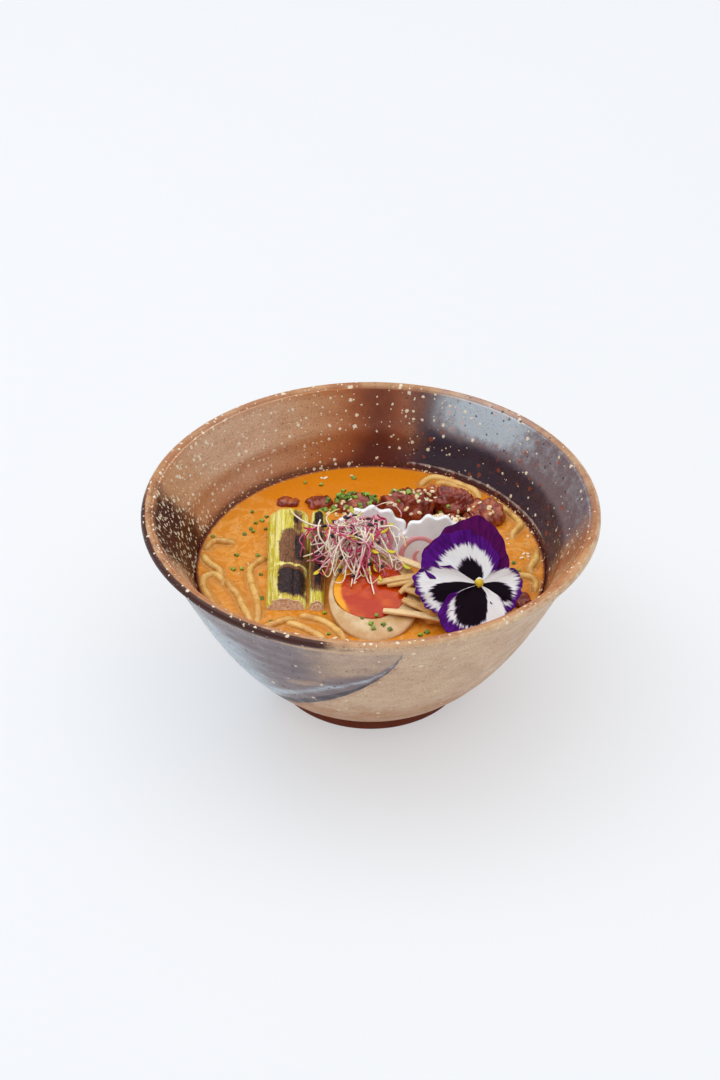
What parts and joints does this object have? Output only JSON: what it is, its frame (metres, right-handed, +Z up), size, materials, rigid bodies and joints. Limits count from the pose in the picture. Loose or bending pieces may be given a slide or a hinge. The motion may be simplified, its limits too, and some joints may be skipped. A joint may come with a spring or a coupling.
{
  "type": "ramen bowl with noodles, broth and toppings",
  "caption": "Stoneware bowl of noodle soup with leek, soft-boiled egg half, fish-cake slices, braised meat, sprouts and a pansy.",
  "frame": {"origin": "centre of the foot's underside, on the surface that the bowl stands on", "axes": "+Z up through the bowl's mouth; -Y towards the eater, as in the picture; +X to the eater's right"},
  "size_m": [0.21, 0.21, 0.098],
  "materials": {
    "stoneware": "wood-fired look: tan and rust glaze with cream specks, blue-grey ash on one side",
    "broth": "wet, creamy amber soup with darker oil at the edge",
    "noodle": "wet cream-yellow noodle",
    "leek": "yellow-green grilled leek with black char",
    "egg_white": "cream egg white, tanned by the broth",
    "egg_yolk": "glossy, jammy orange-red yolk",
    "fish_cake": "smooth white fish cake",
    "fish_cake_pink": "smooth pink fish cake",
    "meat": "braised meat, dark red-brown and glossy",
    "chive": "chopped green chive",
    "sesame": "pale toasted sesame",
    "bamboo": "wet tan bamboo shoot",
    "sprout": "white and crimson sprout threads",
    "petal": "velvety violet and white petal"
  },
  "bodies": {
    "root": {"bowl": "stoneware", "broth": "broth", "noodles": "noodle", "leek_large": "leek", "leek_small": "leek", "egg_white": "egg_white", "egg_yolk": "egg_yolk", "fish_cake_left": "fish_cake", "fish_cake_left_swirl": "fish_cake_pink", "fish_cake_right": "fish_cake", "fish_cake_right_swirl": "fish_cake_pink", "meat_main": "meat", "meat_dark": "meat", "meat_nub": "meat", "meat_light": "meat", "meat_front": "meat", "meat_left": "meat", "meat_far_left": "meat", "meat_right": "meat", "herb_pile": "chive", "bamboo_strips": "bamboo", "sprouts": "sprout", "pansy": "petal"}
  },
  "joints": []
}
